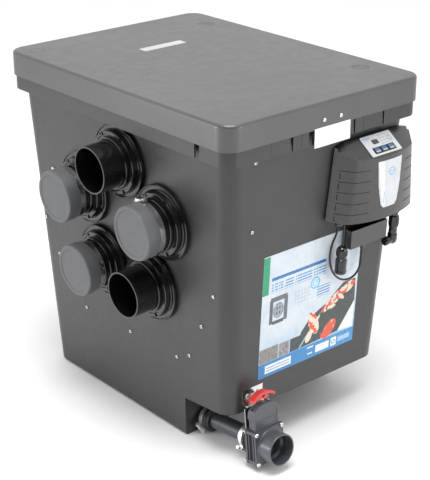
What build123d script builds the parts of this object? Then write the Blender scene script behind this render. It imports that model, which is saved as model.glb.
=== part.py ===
from build123d import *
import math
import os

# Pond drum filter, gravity type.  All lengths in millimetres, +Z up.
# Origin: centre of the footprint on the ground.  Inlet wall faces -Y, controller wall faces +X.

# tank and lid
LID_X = 800.0
LID_Y = 590.0
TOP_Z = 824.0
LID_CORNER = 40.0
LID_SKIRT = 58.0
LID_SHEET = 4.5
RIM_DEPTH = 34.5
RIM_TOP = TOP_Z - LID_SKIRT
RIM_BOTTOM = RIM_TOP - RIM_DEPTH
RIM_INSET = 5.0
WALL_TOP = 798.0
FOOT_X = 675.0
FOOT_Y = 465.0
SLOPE = 0.054
WALL_LEAN = math.degrees(math.atan(SLOPE))
TANK_CORNER = 38.0
WALL = 6.0
STEP_X = 186.0
STEP_LEAN = 5.0
STEP_Z = 104.0
STEP_RISE = 0.0877
RIB_PITCH = 66.0

# ports: DN110 pipe ends on a regular pentagon, two outlets on the far wall
PIPE_R = 55.0
PIPE_BORE_R = 51.5
PORT_CENTRE_X = 9.0
PORT_CENTRE_Z = 493.0
PORT_CIRCLE_R = 153.0
PORT_HOLE_R = 57.0
SPIGOT_REACH = 88.0
SPIGOT_STOP = 37.0
CAP_REACH = 93.0
CAPPED = (1, 2, 4)
OUTLETS = ((-150.0, 330.0), (150.0, 330.0))

# drum and its drive
DRUM_X = PORT_CENTRE_X
DRUM_Z = PORT_CENTRE_Z
DRUM_R = 228.0
DRUM_FRONT = -132.0
DRUM_BACK = 172.0
PANELS = 8
GEAR_MODULE = 4.0
DRUM_TEETH = 118
PINION_TEETH = 17
GEAR_Y = 158.0
GEAR_W = 14.0
PINION_BEARING = 45.0
PARTITION_Y = -145.0
CARRIER_Y = 196.0

# drain line with its gate valve; u runs along the pipe from the step wall
DRAIN_Y = -174.0
DRAIN_Z = 31.0
DRAIN_RISE = 6.0
STUB_R = 25.0
DRAIN_R = 20.0
VALVE_BACK = 189.5
VALVE_FRONT = 224.0
VALVE_END = 263.0
VALVE_BORE_R = 29.0
GATE_R = 31.2
GATE_STROKE = 60.0

# controller, in its own frame on the +X wall: a along +Y, b up the wall, c outwards
CTRL_Y = 151.0
CTRL_Z = 620.0
CTRL_SHEET = 3.0
ROOF_TILT = 33.0
PANEL_A = -3.0
PANEL_S = 37.5
BUTTON_TRAVEL = 1.0

GAP = 0.1


def half_x(z):
    return FOOT_X / 2 + SLOPE * z


def half_y(z):
    return FOOT_Y / 2 + SLOPE * z


def inlet_plane(x, z):
    lean = math.radians(WALL_LEAN)
    out = (0, -math.cos(lean), -math.sin(lean))
    return Plane(origin=(x, -half_y(z), z), x_dir=(1, 0, 0), z_dir=out)


def outlet_plane(x, z):
    lean = math.radians(WALL_LEAN)
    out = (0, math.cos(lean), -math.sin(lean))
    return Plane(origin=(x, half_y(z), z), x_dir=(-1, 0, 0), z_dir=out)


def side_plane(y, z):
    lean = math.radians(WALL_LEAN)
    out = (math.cos(lean), 0, -math.sin(lean))
    return Plane(origin=(half_x(z), y, z), x_dir=(0, 1, 0), z_dir=out)


def port_points():
    points = []
    for i in range(5):
        turn = math.radians(90 + 72 * i)
        x = PORT_CENTRE_X + PORT_CIRCLE_R * math.cos(turn)
        z = PORT_CENTRE_Z + PORT_CIRCLE_R * math.sin(turn)
        points.append((x, z))
    return points


def turned(points):
    return revolve(Plane.XZ * make_face(Polyline(*points, close=True)), Axis.Z)


def tube(outer, inner, z0, z1):
    return turned([(inner, z0), (outer, z0), (outer, z1), (inner, z1)])


def slab(x0, x1, y0, y1, z0, z1):
    box = Box(x1 - x0, y1 - y0, z1 - z0)
    return Pos((x0 + x1) / 2, (y0 + y1) / 2, (z0 + z1) / 2) * box


def rounded_slab(width, depth, radius, z0, z1):
    return Pos(0, 0, z0) * extrude(RectangleRounded(width, depth, radius), z1 - z0)


def prism_y(points, y0, y1):
    face = Plane.XZ * make_face(Polyline(*points, close=True))
    return Pos(0, y1, 0) * extrude(face, y1 - y0)


def screw(head_r, head_h, shank_r, shank_l):
    head = Cylinder(head_r, head_h, align=(Align.CENTER, Align.CENTER, Align.MIN))
    head = fillet(head.edges().group_by(Axis.Z)[-1], head_h * 0.6)
    drive = Pos(0, 0, head_h - 1.2) * Cylinder(head_r * 0.42, 3, align=(Align.CENTER, Align.CENTER, Align.MIN))
    shank = Cylinder(shank_r, shank_l, align=(Align.CENTER, Align.CENTER, Align.MAX))
    return head - drive + shank


def band_clamp(inner, width, turn):
    band = tube(inner + 0.9, inner, -width / 2, width / 2)
    reach = inner + 5.4
    housing = Pos(reach - 1, 0, 0) * Box(9, 17, width + 1)
    core = Cylinder(inner + 0.3, width + 4)
    worm = Pos(reach + 1, 0, 0) * Rot(90, 0, 0) * Cylinder(3.6, 27)
    head = Pos(reach + 1, -14.5, 0) * Rot(90, 0, 0) * extrude(RegularPolygon(4.6, 6), 5)
    tail = Pos(inner + 2.2, 10, 0) * Box(1.2, 14, width - 2)
    clamp = band + (housing - core) + worm + head + (tail - core)
    return Rot(0, 0, turn) * clamp


# ---------------------------------------------------------------- tank

def draft_block(z0, z1, inset):
    radius = TANK_CORNER - inset
    lower = Pos(0, 0, z0) * RectangleRounded(2 * (half_x(z0) - inset), 2 * (half_y(z0) - inset), radius)
    upper = Pos(0, 0, z1) * RectangleRounded(2 * (half_x(z1) - inset), 2 * (half_y(z1) - inset), radius)
    return loft([lower.face(), upper.face()], ruled=True)


def below_step(gap):
    far = 500.0
    top = STEP_Z + gap
    points = [
        (STEP_X - gap, -20),
        (far, -20),
        (far, top + STEP_RISE * (far - STEP_X)),
        (STEP_X + STEP_LEAN - gap, top),
    ]
    return prism_y(points, -400, 400)


def cavity(gap):
    return draft_block(WALL + gap, WALL_TOP + 20, WALL + gap) - below_step(WALL + gap)


def rim_band():
    band_x = LID_X - 2 * RIM_INSET
    band_y = LID_Y - 2 * RIM_INSET
    band_r = LID_CORNER - RIM_INSET
    plate = rounded_slab(band_x, band_y, band_r, RIM_TOP - 5, RIM_TOP)
    skirt = rounded_slab(band_x, band_y, band_r, RIM_BOTTOM, RIM_TOP)
    skirt -= rounded_slab(band_x - 8, band_y - 8, band_r - 4, RIM_BOTTOM - 1, RIM_TOP - 4)
    inner = rounded_slab(2 * half_x(RIM_TOP) - 4, 2 * half_y(RIM_TOP) - 4, TANK_CORNER, RIM_BOTTOM + 2, RIM_TOP - 2)
    count_x = int(band_x / RIB_PITCH / 2)
    count_y = int(band_y / RIB_PITCH / 2)
    ribs = Sketch()
    for i in range(-count_x, count_x + 1):
        ribs += Pos(i * RIB_PITCH, 0) * Rectangle(3, band_y - 2)
    for i in range(-count_y, count_y + 1):
        ribs += Pos(0, i * RIB_PITCH) * Rectangle(band_x - 2, 3)
    web = Pos(0, 0, RIM_BOTTOM + 4) * extrude(ribs, RIM_DEPTH - 6) - inner
    web -= slab(PORT_CENTRE_X - 75, PORT_CENTRE_X + 75, -band_y / 2 + 4, -250, RIM_BOTTOM, RIM_BOTTOM + 12)
    return plate + skirt + web


def rim_cuts():
    out_x = LID_X / 2 - RIM_INSET
    out_y = LID_Y / 2 - RIM_INSET
    z0 = RIM_BOTTOM - 1
    z1 = RIM_TOP - 3
    cuts = [slab(291, 307, -out_y - 1, -out_y + 12, z0, z1)]
    for y0, y1 in ((-115, -107), (-61, -49), (74, 80), (167, 172)):
        cuts.append(slab(out_x - 12, out_x + 1, y0, y1, z0, z1))
    for y in (-171, -82, 106):
        cuts.append(slab(out_x - 0.8, out_x + 1, y - 0.5, y + 0.5, z0, RIM_TOP + 1))
    cuts.append(slab(291, 307, out_y - 12, out_y + 1, z0, z1))
    return cuts


def inlet_screw_points():
    return [
        (-324, 403), (-280, 316), (-180, 202), (-3, 203),
        (171, 205), (217, 227), (265, 320), (311, 411),
    ]


def side_screw_points():
    return [(-197, 722), (-197, 564)]


def bracket_screw_points():
    return [(-187, 158), (-154, 158)]


def tank_shell():
    body = draft_block(0, WALL_TOP, 0)
    body = fillet(body.edges().group_by(Axis.Z)[0], 9)
    body -= below_step(0)
    body += rim_band()
    body -= cavity(0)
    body -= rim_cuts()
    cuts = []
    for x, z in port_points():
        cuts.append(inlet_plane(x, z) * Cylinder(PORT_HOLE_R, 40))
    for x, z in OUTLETS:
        cuts.append(outlet_plane(x, z) * Cylinder(PORT_HOLE_R, 40))
    cuts.append(drain_place() * Rot(0, 90, 0) * Cylinder(STUB_R + GAP, 50))
    body -= cuts
    drill = extrude(RegularPolygon(2.8, 12), 12, both=True)
    holes = [inlet_plane(x, z) * drill for x, z in inlet_screw_points()]
    holes += [side_plane(y, z) * drill for y, z in side_screw_points() + bracket_screw_points()]
    return body - holes


# ---------------------------------------------------------------- lid

def lid():
    body = rounded_slab(LID_X, LID_Y, LID_CORNER, RIM_TOP + 0.2, TOP_Z)
    body = fillet(body.edges().group_by(Axis.Z)[-1], 7)
    inner_x = LID_X - 2 * LID_SHEET
    inner_y = LID_Y - 2 * LID_SHEET
    body -= rounded_slab(inner_x, inner_y, LID_CORNER - LID_SHEET, RIM_TOP - 1, TOP_Z - 5)
    press_x = 2 * half_x(WALL_TOP) - 1
    press_y = 2 * half_y(WALL_TOP) - 1
    press = rounded_slab(press_x, press_y, TANK_CORNER, WALL_TOP + 5.1, TOP_Z - 4)
    press -= rounded_slab(press_x - 8, press_y - 8, TANK_CORNER - 4, WALL_TOP, TOP_Z)
    ribs = []
    for x in (-260, -130, 0, 130, 260):
        ribs.append(slab(x - 1.5, x + 1.5, 3 - press_y / 2, press_y / 2 - 3, TOP_Z - 17, TOP_Z - 4))
    for y in (-140, 0, 140):
        ribs.append(slab(3 - press_x / 2, press_x / 2 - 3, y - 1.5, y + 1.5, TOP_Z - 17, TOP_Z - 4))
    body += press
    body += ribs
    cuts = [Pos(*BADGE_AT, TOP_Z) * Box(BADGE_X + 0.6, BADGE_Y + 0.6, 2)]
    for x, y in CAP_AT:
        cuts.append(Pos(x, y, TOP_Z) * Cylinder(CAP_DISC_R + 0.4, 5))
    cuts.append(Pos(-337, -247, TOP_Z) * tube(17.4, 16.6, -0.5, 1))
    cuts.append(Pos(-195, -215, TOP_Z + 2) * Sphere(4))
    plate_y0, plate_y1 = PLATE_Y
    cuts.append(slab(LID_X / 2 - 8, LID_X / 2 + 1, plate_y0 - 1, plate_y1 + 1, RIM_TOP - 1, RIM_TOP + 2.6))
    for y in PLATE_SCREWS:
        cuts.append(Pos(LID_X / 2, y, PLATE_SCREW_Z) * Rot(0, 90, 0) * Cylinder(2.4, 20))
    return body - cuts


BADGE_AT = (-176.0, 6.0)
BADGE_X = 27.0
BADGE_Y = 127.0
CAP_AT = ((-272.0, 226.0), (266.0, 228.0))
CAP_DISC_R = 19.2
PLATE_Y = (-49.0, 59.0)
PLATE_SCREWS = (-22.0, 28.0)
PLATE_SCREW_Z = 784.0


def lid_seal():
    out_x = 2 * half_x(WALL_TOP) + 1
    out_y = 2 * half_y(WALL_TOP) + 1
    ring = rounded_slab(out_x, out_y, TANK_CORNER, WALL_TOP, WALL_TOP + 5)
    return ring - rounded_slab(out_x - 15, out_y - 15, TANK_CORNER - 7, WALL_TOP - 1, WALL_TOP + 6)


def lid_badge():
    plate = Pos(*BADGE_AT, TOP_Z - 0.9) * extrude(RectangleRounded(BADGE_X, BADGE_Y, 2), 1.5)
    return chamfer(plate.edges().group_by(Axis.Z)[-1], 0.4)


def lid_caps():
    caps = []
    for x, y in CAP_AT:
        disc = Cylinder(CAP_DISC_R, 2.3, align=(Align.CENTER, Align.CENTER, Align.MIN))
        disc = chamfer(disc.edges().group_by(Axis.Z)[-1], 0.5)
        ring = Pos(0, 0, 2.0) * tube(12.5, 11.7, 0, 1)
        slot = Pos(0, 0, 2.3) * Box(17, 2.4, 1.6)
        caps.append(Pos(x, y, TOP_Z - 2.4) * (disc - ring - slot))
    return Compound(children=caps)


def contact_plate():
    y0, y1 = PLATE_Y
    front = LID_X / 2
    inside = front - LID_SHEET
    leg = slab(front - 1.6, front, y0, y1, RIM_TOP - 41, RIM_TOP + 2)
    bridge = slab(inside - 1.7, front, y0, y1, RIM_TOP + 0.4, RIM_TOP + 2)
    tab = slab(inside - 1.7, inside - 0.1, y0, y1, RIM_TOP + 0.4, PLATE_SCREW_Z + 10)
    plate = leg + bridge + tab
    holes = []
    for y in PLATE_SCREWS:
        holes.append(Pos(inside, y, PLATE_SCREW_Z) * Rot(0, 90, 0) * Cylinder(2.4, 12))
    return plate - holes


def contact_plate_screws():
    parts = []
    for y in PLATE_SCREWS:
        place = Pos(LID_X / 2 + 0.05, y, PLATE_SCREW_Z) * Rot(0, 90, 0)
        nut = Pos(0, 0, -LID_SHEET - 5.0) * extrude(RegularPolygon(4.2, 6) - Circle(2.2), 3)
        parts.append(place * screw(4.6, 2.6, 2.1, 11))
        parts.append(place * nut)
    return Compound(children=parts)


# ---------------------------------------------------------------- ports

def every_port():
    places = [inlet_plane(x, z) for x, z in port_points()]
    places += [outlet_plane(x, z) for x, z in OUTLETS]
    return places


def port_gaskets():
    return Compound(children=[p * tube(84, PORT_HOLE_R + 1, 0.1, 2.4) for p in every_port()])


def port_flange():
    ring = turned([
        (PIPE_R + GAP, 2.5), (86, 2.5), (88, 4.5), (88, 9.5), (86.5, 11.5), (84.5, 11.5),
        (83, 9.5), (77, 9.5), (76, 11), (74, 23), (72.5, 24.5), (66, 24.5),
        (65, 22.5), (62, 22.5), (61.5, 31), (60, 32.5), (57.5, 32.5), (PIPE_R + GAP, 30),
    ])
    cuts = []
    for turn in (60, 120, 240, 300):
        cuts.append(Rot(0, 0, turn) * Pos(71, 0, 24.5) * Box(7, 9, 5))
    ribs = []
    for turn in (117, 297):
        ribs.append(Rot(0, 0, turn) * Pos(69, 0, 24.6) * Box(9, 4, 3.4))
    return ring - cuts + ribs


def port_flanges():
    one = port_flange()
    return Compound(children=[p * one for p in every_port()])


def port_nuts():
    ring = tube(71, PIPE_R + GAP, -WALL - 14, -WALL - 0.2)
    grips = []
    for i in range(12):
        grips.append(Rot(0, 0, 30 * i) * Pos(72.5, 0, -WALL - 7) * Cylinder(4.5, 20))
    nut = ring - grips
    return Compound(children=[p * nut for p in every_port()])


def spigot():
    """A pipe end with a stop collar: pipe or sleeve slides on as far as the collar."""
    body = tube(PIPE_R, PIPE_BORE_R, -WALL - 16, SPIGOT_REACH)
    return body + tube(PIPE_R + 1.3, PIPE_R - 1, SPIGOT_STOP - 4, SPIGOT_STOP)


def inlet_spigots():
    one = spigot()
    return Compound(children=[inlet_plane(x, z) * one for x, z in port_points()])


def outlet_spigots():
    one = spigot()
    return Compound(children=[outlet_plane(x, z) * one for x, z in OUTLETS])


def capped_planes():
    return [inlet_plane(*port_points()[i]) for i in CAPPED]


def end_caps():
    inner = PIPE_R + 1.5
    cup = turned([
        (inner, SPIGOT_REACH - 42), (inner + 5, SPIGOT_REACH - 42), (inner + 5, SPIGOT_REACH - 26),
        (inner + 6.2, SPIGOT_REACH - 24), (inner + 6.2, CAP_REACH - 3), (inner + 4.4, CAP_REACH),
        (inner - 2.5, CAP_REACH), (inner - 4.5, CAP_REACH - 1.6), (0, CAP_REACH - 1.6),
        (0, SPIGOT_REACH + 0.1), (inner, SPIGOT_REACH + 0.1),
    ])
    return Compound(children=[p * cup for p in capped_planes()])


def cap_clamps():
    turns = (150, 200, 100)
    parts = []
    for place, turn in zip(capped_planes(), turns):
        clamp = band_clamp(PIPE_R + 6.6, 12, turn)
        parts.append(place * Pos(0, 0, SPIGOT_REACH - 34) * clamp)
    return Compound(children=parts)


# ---------------------------------------------------------------- drain line

def drain_place():
    return Pos(STEP_X + 2, DRAIN_Y, DRAIN_Z) * Rot(0, -DRAIN_RISE, 0)


def along_drain(part):
    return drain_place() * part


def pipe_u(outer, inner, u0, u1):
    return Rot(0, 90, 0) * tube(outer, inner, u0, u1)


def turned_u(points):
    return Rot(0, 90, 0) * turned(points)


def drain_stub():
    return along_drain(turned_u([
        (22, -12), (STUB_R, -12), (STUB_R, 30), (22, 30),
    ]))


def drain_sleeves():
    first = turned_u([
        (STUB_R + GAP, 6), (28.5, 6), (28.5, 23), (29.8, 24), (29.8, 27), (28.5, 28), (28.5, 30),
        (29.8, 31), (29.8, 34), (27.5, 35), (26, 40), (DRAIN_R + GAP, 40), (DRAIN_R + GAP, 31),
        (STUB_R + GAP, 31),
    ])
    last = VALVE_BACK - 1
    second = turned_u([
        (DRAIN_R + GAP, 145), (28.5, 145), (28.5, 164), (30.5, 165), (30.5, 168), (28.8, 169), (28.8, 172),
        (31, 173), (31, 176), (29, 177), (29, 181), (31.5, 182), (31.5, last - 2), (30, last),
        (STUB_R + GAP, last), (STUB_R + GAP, 151.6), (DRAIN_R + GAP, 151.6),
    ])
    return Compound(children=[along_drain(first), along_drain(second)])


def drain_pipe():
    return along_drain(pipe_u(DRAIN_R, DRAIN_R - 3, 31.5, 151))


def drain_clamps():
    parts = []
    for u, turn in ((16, 302), (154, 322)):
        clamp = band_clamp(28.6, 11, turn)
        parts.append(along_drain(Pos(u, 0, 0) * Rot(0, 90, 0) * clamp))
    return Compound(children=parts)


def bolt_points():
    return [(v, w) for v in (-37.0, 37.0) for w in (-35.5, 36.5)]


def gate_pocket():
    mid = (VALVE_BACK + VALVE_FRONT) / 2
    half = GATE_R + 0.4
    round_end = Pos(mid, 0, 0) * Rot(0, 90, 0) * Cylinder(half, 4.8)
    channel = Pos(mid, 0, 45) * Cylinder(4.4, 40)
    return round_end + slab(mid - 2.4, mid + 2.4, -half, half, 0, 60) + channel


def body_half(u_plate, u_mid):
    low, high = sorted((u_plate, u_mid))
    sign = 1 if u_plate > u_mid else -1
    core = slab(low, high, -36, 36, -36, 40)
    plate0, plate1 = sorted((u_plate, u_plate - sign * 5))
    plate = slab(plate0, plate1, -42, 42, -40.5, 41.5)
    rib0, rib1 = sorted((u_plate - sign * 9, u_plate - sign * 11.5))
    ribs = slab(rib0, rib1, -41, 41, -39.5, 40.5)
    lugs = []
    for v, w in bolt_points():
        lugs.append(Pos((low + high) / 2, v, w) * Rot(0, 90, 0) * Cylinder(4.8, high - low))
    return core + plate + ribs + lugs


def body_cuts():
    mid = (VALVE_BACK + VALVE_FRONT) / 2
    cuts = [gate_pocket(), Pos(mid, 0, 0) * Rot(0, 90, 0) * Cylinder(VALVE_BORE_R - 8, 200)]
    for v, w in bolt_points():
        cuts.append(Pos(mid, v, w) * Rot(0, 90, 0) * Cylinder(2.7, 60))
    return cuts


def valve_body_back():
    mid = (VALVE_BACK + VALVE_FRONT) / 2 - 0.05
    half = body_half(VALVE_BACK, mid)
    half += pipe_u(STUB_R, 10, VALVE_BACK - 37.5, VALVE_BACK + 2)
    half -= body_cuts()
    return along_drain(half)


def valve_body_front():
    mid = (VALVE_BACK + VALVE_FRONT) / 2 + 0.05
    half = body_half(VALVE_FRONT, mid)
    half += turned_u([
        (10, VALVE_FRONT - 3), (40, VALVE_FRONT - 3), (40, VALVE_FRONT + 1), (37.5, VALVE_FRONT + 4),
        (37.5, VALVE_END - 1), (36.8, VALVE_END), (10, VALVE_END),
    ])
    half -= turned_u([
        (0, VALVE_FRONT + 2), (VALVE_BORE_R, VALVE_FRONT + 2), (34, VALVE_FRONT + 7),
        (34, VALVE_END + 1), (0, VALVE_END + 1),
    ])
    half -= Pos(VALVE_FRONT, 0, 0) * Rot(0, 90, 0) * Cylinder(VALVE_BORE_R, 60) & slab(mid, 400, -60, 60, -60, 60)
    half -= body_cuts()
    return along_drain(half)


def bonnet_outline(half_low, half_high, low, shoulder, top):
    arch = half_high * 0.72
    points = [(-half_low, low), (half_low, low), (half_low, shoulder), (half_high, shoulder + 3)]
    for i in range(0, 13):
        turn = math.pi * i / 12
        v = half_high * math.cos(turn)
        w = top - arch + arch * math.sin(turn) ** 0.8
        points.append((v, w))
    points += [(-half_high, shoulder + 3), (-half_low, shoulder)]
    return points


def valve_bonnet():
    mid = (VALVE_BACK + VALVE_FRONT) / 2
    outline = bonnet_outline(34.6, 38, 41.6, 67, 101)
    shell = Plane.YZ * make_face(Polyline(*outline, close=True))
    shell = Pos(mid - 9, 0, 0) * extrude(shell, 21)
    front = Plane.YZ * make_face(Polyline(*bonnet_outline(29, 32, 48, 63, 95), close=True))
    recess = Pos(mid + 11.2, 0, 0) * extrude(front, 3)
    recess -= slab(mid + 10, mid + 15, -40, 40, 61, 64)
    half = GATE_R + 0.4
    hollow = slab(mid - 2.4, mid + 2.4, -half, half, 40, 93)
    stem = Pos(mid, 0, 85) * Cylinder(4.4, 90)
    gland = Pos(mid, 0, 98) * Cylinder(8.3, 14)
    return along_drain(shell - recess + gland - hollow - stem)


def gate_blade():
    mid = (VALVE_BACK + VALVE_FRONT) / 2
    blade = Pos(mid, 0, 0) * Rot(0, 90, 0) * Cylinder(GATE_R, 4)
    blade += slab(mid - 2, mid + 2, -GATE_R, GATE_R, 0, 32)
    return along_drain(blade)


def gate_stem():
    mid = (VALVE_BACK + VALVE_FRONT) / 2
    return along_drain(Pos(mid, 0, 32.05) * Cylinder(4, 81, align=(Align.CENTER, Align.CENTER, Align.MIN)))


def gate_handle():
    mid = (VALVE_BACK + VALVE_FRONT) / 2
    upper = []
    lower = []
    for i in range(17):
        s = -1 + i / 8
        v = 2 + 33.5 * s
        bend = 14 * (1 - s * s) ** 0.9 if abs(s) < 1 else 0
        thick = 8.5 - 2.5 * max(s, 0)
        upper.append((v, 114 + bend))
        lower.append((v - 2 * s, 114 + bend - thick))
    outline = upper + lower[::-1]
    bar = Pos(mid - 8, 0, 0) * extrude(Plane.YZ * make_face(Polyline(*outline, close=True)), 16)
    bar = chamfer(bar.edges().filter_by(GeomType.LINE).filter_by(Axis.Y, reverse=True).group_by(Axis.X)[-1], 1.2)
    hub = slab(mid - 6, mid + 6, -15, 15, 110, 122)
    hub -= Pos(mid, 0, 118.5) * Rot(0, 90, 0) * Cylinder(4.2, 30)
    fin = slab(mid - 1.5, mid + 1.5, -14, 14, 105.5, 112)
    hole = Pos(mid, 0, 113) * Cylinder(4.0, 0.1 * 2, align=(Align.CENTER, Align.CENTER, Align.MAX))
    grip = bar + hub + fin
    return along_drain(grip - Pos(mid, 0, 103) * Cylinder(4.0, 10.1, align=(Align.CENTER, Align.CENTER, Align.MIN)) - hole)


def valve_bolts():
    parts = []
    length = VALVE_FRONT - VALVE_BACK + 8
    for v, w in bolt_points():
        head = Pos(VALVE_FRONT + 0.05, v, w) * Rot(0, 90, 0) * screw(5.2, 4, 2.5, length)
        nut = extrude(RegularPolygon(4.8, 6) - Circle(2.6), 4)
        parts.append(along_drain(head))
        parts.append(along_drain(Pos(VALVE_BACK - 6.2, v, w) * Rot(0, 90, 0) * nut))
    return Compound(children=parts)


def valve_bracket():
    upper = side_plane(DRAIN_Y + 3, 158) * Pos(0, 0, 0.15) * extrude(Rectangle(60, 34), 2)
    holes = [side_plane(y, z) * Cylinder(2.7, 20) for y, z in bracket_screw_points()]
    rear = VALVE_BACK - 2.1
    foot = slab(rear, rear + 2, -42, 42, 31, 42) + slab(rear, rear + 2, -37, 37, 40, 90)
    foot -= Pos(rear, 0, 0) * Rot(0, 90, 0) * Cylinder(33, 20)
    for v, w in bolt_points()[1::2]:
        foot -= Pos(rear, v, w) * Rot(0, 90, 0) * Cylinder(2.7, 20)
    foot = along_drain(foot)
    place = drain_place()
    top_in = (place * Pos(rear, 0, 90)).position
    top_out = (place * Pos(rear + 2, 0, 90)).position
    wall_low = side_plane(0, 158).from_local_coords((0, -17, 0.15))
    wall_out = side_plane(0, 158).from_local_coords((0, -17, 2.15))
    joggle = prism_y([
        (wall_low.X, wall_low.Z), (wall_out.X, wall_out.Z), (wall_out.X, wall_out.Z + 1.5),
        (top_out.X, top_out.Z + 1.0), (top_out.X, top_out.Z - 2), (top_in.X, top_in.Z - 2),
    ], DRAIN_Y - 27, DRAIN_Y + 33)
    return upper + joggle + foot - holes


# ---------------------------------------------------------------- screws, label

def wall_screws():
    parts = []
    for x, z in inlet_screw_points():
        parts.append(inlet_plane(x, z) * Pos(0, 0, 0.05) * screw(4.6, 2.8, 2.4, 12))
    for y, z in side_screw_points():
        parts.append(side_plane(y, z) * Pos(0, 0, 0.05) * screw(4.6, 2.8, 2.4, 12))
    for y, z in bracket_screw_points():
        parts.append(side_plane(y, z) * Pos(0, 0, 2.25) * screw(4.6, 2.8, 2.4, 14))
    return Compound(children=parts)


def label_panel():
    return side_plane(-3, 338) * Pos(0, 0, 0.1) * extrude(RectangleRounded(306, 306, 3), 0.6)


# ---------------------------------------------------------------- controller

def ctrl_plane():
    return side_plane(CTRL_Y, CTRL_Z)


def on_wall(part):
    return ctrl_plane() * part


def plan_face(back_half, front_half, corner_c, bulge_c, inset, back_c):
    left = -front_half + inset
    edge = [
        Line((-back_half + inset, back_c), (back_half - inset, back_c)),
        Line((back_half - inset, back_c), (-left, corner_c - inset)),
        ThreePointArc((-left, corner_c - inset), (0, bulge_c - inset), (left, corner_c - inset)),
        Line((left, corner_c - inset), (-back_half + inset, back_c)),
    ]
    face = make_face(edge)
    front = face.vertices().group_by(Axis.Y)[-1]
    return fillet(front, 17 - inset)


def cover_block(inset, back_c):
    low = plan_face(128.5, 103.5, 50, 72, inset, back_c)
    high = plan_face(114, 84.5, 48, 63, inset, back_c)
    low = Plane(origin=(0, -88 + inset, 0), x_dir=(1, 0, 0), z_dir=(0, -1, 0)) * low
    high = Plane(origin=(0, 104, 0), x_dir=(1, 0, 0), z_dir=(0, -1, 0)) * high
    return loft([low.face(), high.face()], ruled=True)


def roof_place():
    return Pos(0, 96, 3) * Rot(ROOF_TILT, 0, 0)


def panel_place():
    return roof_place() * Pos(PANEL_A, 0, PANEL_S)


def roof_prism(drop):
    edge = [
        Line((-160, -320), (160, -320)),
        Line((160, -320), (160, -23 - drop)),
        ThreePointArc((160, -23 - drop), (0, 3 - drop), (-160, -23 - drop)),
        Line((-160, -23 - drop), (-160, -320)),
    ]
    return roof_place() * Pos(0, 0, -150) * extrude(make_face(edge), 400)


def controller_cover():
    body = cover_block(0, 12) & roof_prism(0)
    inner = cover_block(CTRL_SHEET, 11) & roof_prism(CTRL_SHEET)
    skin = cover_block(0, 12) - cover_block(1.3, 11)
    grooves = []
    for i in range(5):
        b = -66 + 25 * i
        ring = slab(-140, 140, b - 0.9, b + 0.9, 20, 90) & skin
        grooves.append(ring - slab(-56, 56, b - 5, b + 5, 0, 100))
    side_slots = []
    for i in range(5):
        b = -78 + 25 * i
        side_slots.append(slab(-140, -90, b - 6, b + 7, 21, 23.5) & (cover_block(0, 12) - cover_block(1.8, 11)))
    body = body - inner
    body -= grooves
    body -= side_slots
    body -= panel_recess()
    seat = panel_place() * slab(-49, 49, -2.9, 1.1, -29, 29)
    body += seat & cover_block(0, 12) & roof_prism(0)
    holes = [panel_place() * Pos(a, 0, BUTTON_S) * Box(19, 16, 14) for a in BUTTON_AT]
    for a in GLAND_AT:
        holes.append(Pos(a, -85, GLAND_C) * Rot(90, 0, 0) * Cylinder(6.1, 20))
    for a in CTRL_SCREW_AT:
        holes.append(Pos(a, -85, 44) * Rot(90, 0, 0) * Cylinder(1.5, 20))
    return on_wall(body - holes)


BUTTON_AT = (-22.0, 0.0, 22.0)
BUTTON_S = 14.0
DISPLAY_AT = (-12.0, -8.5)
GLAND_AT = (-88.0, -106.0, 81.0)
GLAND_C = 24.0
CTRL_SCREW_AT = (-97.0, 97.0)


def controller_base():
    body = cover_block(0, 3.1) & slab(-150, 150, -89, 90, 0, 11.8)
    body &= roof_prism(0)
    body -= slab(-95, 95, -75, 55, 8, 12)
    return on_wall(body - panel_recess())


def panel_recess():
    return panel_place() * slab(-48, 48, 1.1, 20, -31, 28)


def controller_board():
    board = slab(-85, 85, -68, 48, 8.1, 9.7)
    chips = [slab(-70, -30, -50, -10, 9.7, 30), slab(0, 26, -40, -8, 9.7, 22), slab(40, 62, -30, 20, 9.7, 18)]
    return on_wall(board + chips)


def control_panel():
    plate = Rot(-90, 0, 0) * extrude(RectangleRounded(95, 55, 3), 1.5)
    plate -= [Pos(a, 1, BUTTON_S) * Box(18.4, 6, 13.4) for a in BUTTON_AT]
    plate -= Pos(DISPLAY_AT[0], 1.5, DISPLAY_AT[1]) * Box(15, 1.6, 9)
    return on_wall(panel_place() * Pos(0, 1.2, 0) * plate)


def display_window():
    glass = Box(14.6, 0.7, 8.6)
    return on_wall(panel_place() * Pos(DISPLAY_AT[0], 1.2 + 1.1, DISPLAY_AT[1]) * glass)


def button(a):
    cap = Box(17.8, 4.2, 12.8)
    cap = fillet(cap.edges().group_by(Axis.Y)[-1], 0.6)
    return on_wall(panel_place() * Pos(a, 1.9, BUTTON_S) * cap)


def front_badge():
    shape = make_face(Polyline((-38, 50), (38, 50), (34, -10), (26, -52), (18, -61), (-18, -61), (-26, -52), (-34, -10),
                               close=True))
    prism = Pos(1, 0, 0) * extrude(shape, 100)
    outer = cover_block(-1.6, 12)
    return on_wall(prism & (outer - cover_block(-0.1, 11)))


def controller_screws():
    parts = []
    for a in CTRL_SCREW_AT:
        parts.append(on_wall(Pos(a, -88.1, 44) * Rot(90, 0, 0) * screw(3.2, 1.8, 1.4, 6)))
    return Compound(children=parts)


def controller_bracket():
    back = slab(-63, 55, -170, 40, 0.9, 2.9)
    tray = slab(-63, 55, -170, -125, 0.9, 27) - slab(-60.5, 52.5, -167.5, -120, 2.9, 24.5)
    slot = slab(-18, -2, -172, -162, 6, 22)
    return on_wall(back + tray - slot)


def turned_b(points):
    return Rot(-90, 0, 0) * turned(points)


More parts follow.
